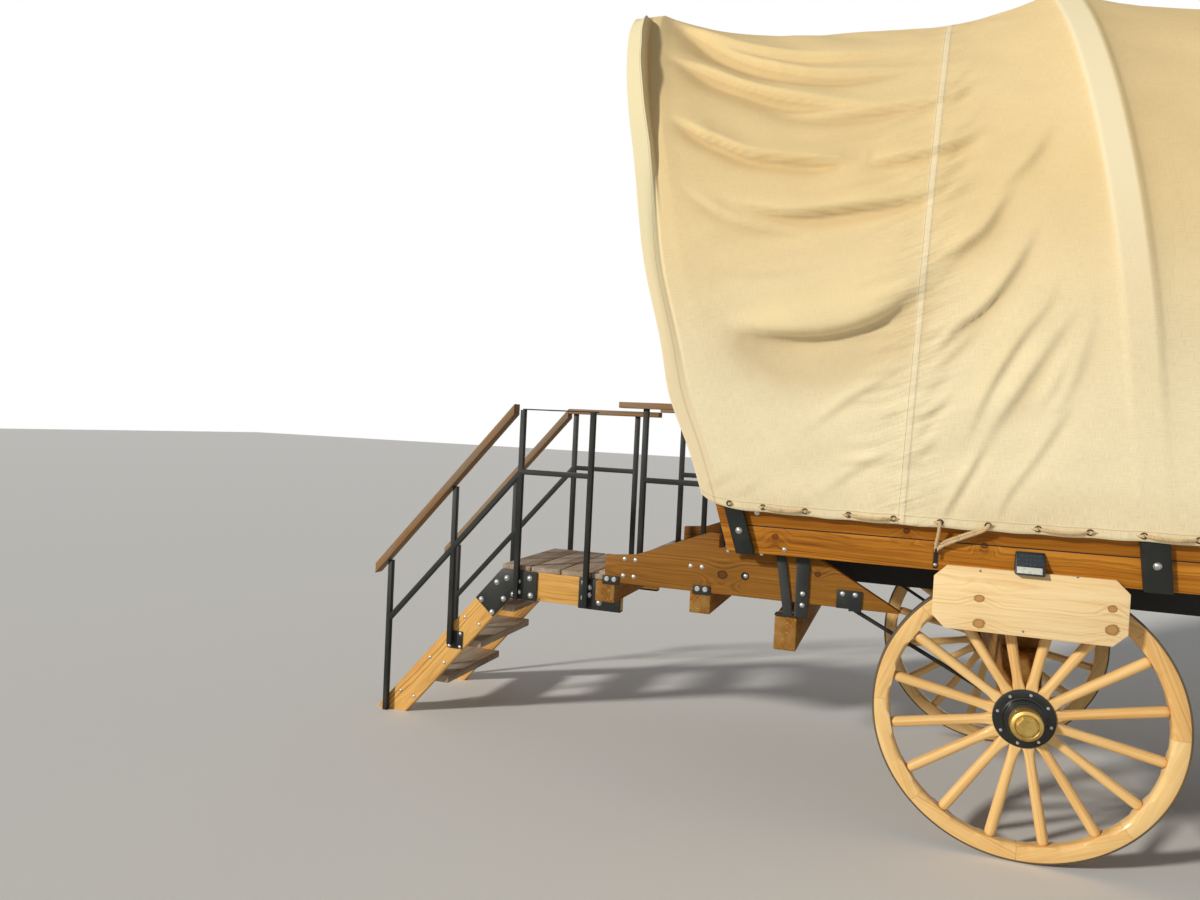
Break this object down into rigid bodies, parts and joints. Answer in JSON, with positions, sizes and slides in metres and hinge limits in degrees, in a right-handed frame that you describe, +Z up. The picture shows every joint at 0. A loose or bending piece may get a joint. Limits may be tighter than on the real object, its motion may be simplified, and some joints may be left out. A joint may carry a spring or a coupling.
{
  "type": "covered wagon",
  "caption": "Covered wagon with wooden spoked wheels, flared plank box, canvas cover on hoops, inner door, railed porch and entry stair.",
  "frame": {"origin": "on the floor under the middle of the overall length and width", "axes": "X along the wagon with the porch and stair at -X; -Y is the near side; +Z up"},
  "size_m": [8.5018, 2.0166, 3.5322],
  "materials": {
    "iron_tyre": "worn dark iron",
    "wheel_wood": "varnished oak",
    "hub_iron": "black paint",
    "black_steel": "satin black paint",
    "board_wood": "stained pine",
    "timber_wood": "oiled timber",
    "deck_wood": "weathered",
    "rail_wood": "oiled",
    "wall_wood": "sealed pine boards",
    "canvas": "heavy cotton duck",
    "plaque_wood": "varnished pine",
    "lamp_plastic": "dark blue-black"
  },
  "bodies": {
    "wagon": {"axles": "black_steel", "bolsters": "timber_wood", "frame_rails": "black_steel", "cross_members": "black_steel", "floor_boards": "timber_wood", "side_boards_lower": "board_wood", "side_boards_upper": "board_wood", "end_boards": "board_wood", "bow_1": "black_steel", "bow_2": "black_steel", "bow_3": "black_steel", "bow_4": "black_steel", "bow_5": "black_steel", "canvas_cover": "canvas", "front_wall": "wall_wood", "rear_wall": "wall_wood", "door_hinges": "black_steel", "hounds": "timber_wood", "porch_timbers": "timber_wood", "porch_deck": "deck_wood", "porch_iron": "black_steel", "porch_rails": "black_steel", "porch_rail_caps": "rail_wood", "landing_beams": "timber_wood", "landing_boards": "deck_wood", "stair_stringers": "timber_wood", "stair_treads": "deck_wood", "stair_plates": "black_steel", "stair_rails": "black_steel", "stair_handrails": "rail_wood", "sign_plaque": "plaque_wood", "solar_lamp": "lamp_plastic"},
    "wheel_front_near": {"tyre_front_near": "iron_tyre", "felloes_front_near": "wheel_wood", "spokes_front_near": "wheel_wood", "hub_front_near": "hub_iron"},
    "wheel_front_far": {"tyre_front_far": "iron_tyre", "felloes_front_far": "wheel_wood", "spokes_front_far": "wheel_wood", "hub_front_far": "hub_iron"},
    "wheel_rear_near": {"tyre_rear_near": "iron_tyre", "felloes_rear_near": "wheel_wood", "spokes_rear_near": "wheel_wood", "hub_rear_near": "hub_iron"},
    "wheel_rear_far": {"tyre_rear_far": "iron_tyre", "felloes_rear_far": "wheel_wood", "spokes_rear_far": "wheel_wood", "hub_rear_far": "hub_iron"},
    "door_leaf": {"door": "wall_wood"}
  },
  "joints": [
    {"name": "front_near_wheel_spin", "type": "hinge", "parent": "wagon", "child": "wheel_front_near", "pos_m": [-1.2159, -0.6925, 0.5335], "axis": [0, 1, 0], "continuous": true},
    {"name": "front_far_wheel_spin", "type": "hinge", "parent": "wagon", "child": "wheel_front_far", "pos_m": [-1.2159, 0.6925, 0.5335], "axis": [0, 1, 0], "continuous": true},
    {"name": "rear_near_wheel_spin", "type": "hinge", "parent": "wagon", "child": "wheel_rear_near", "pos_m": [2.5541, -0.6925, 0.5335], "axis": [0, 1, 0], "continuous": true},
    {"name": "rear_far_wheel_spin", "type": "hinge", "parent": "wagon", "child": "wheel_rear_far", "pos_m": [2.5541, 0.6925, 0.5335], "axis": [0, 1, 0], "continuous": true},
    {"name": "door_swing", "type": "hinge", "parent": "wagon", "child": "door_leaf", "pos_m": [-2.1616, 0.334, 1.13], "axis": [0, 0, 1], "range_deg": [0, 95]}
  ]
}
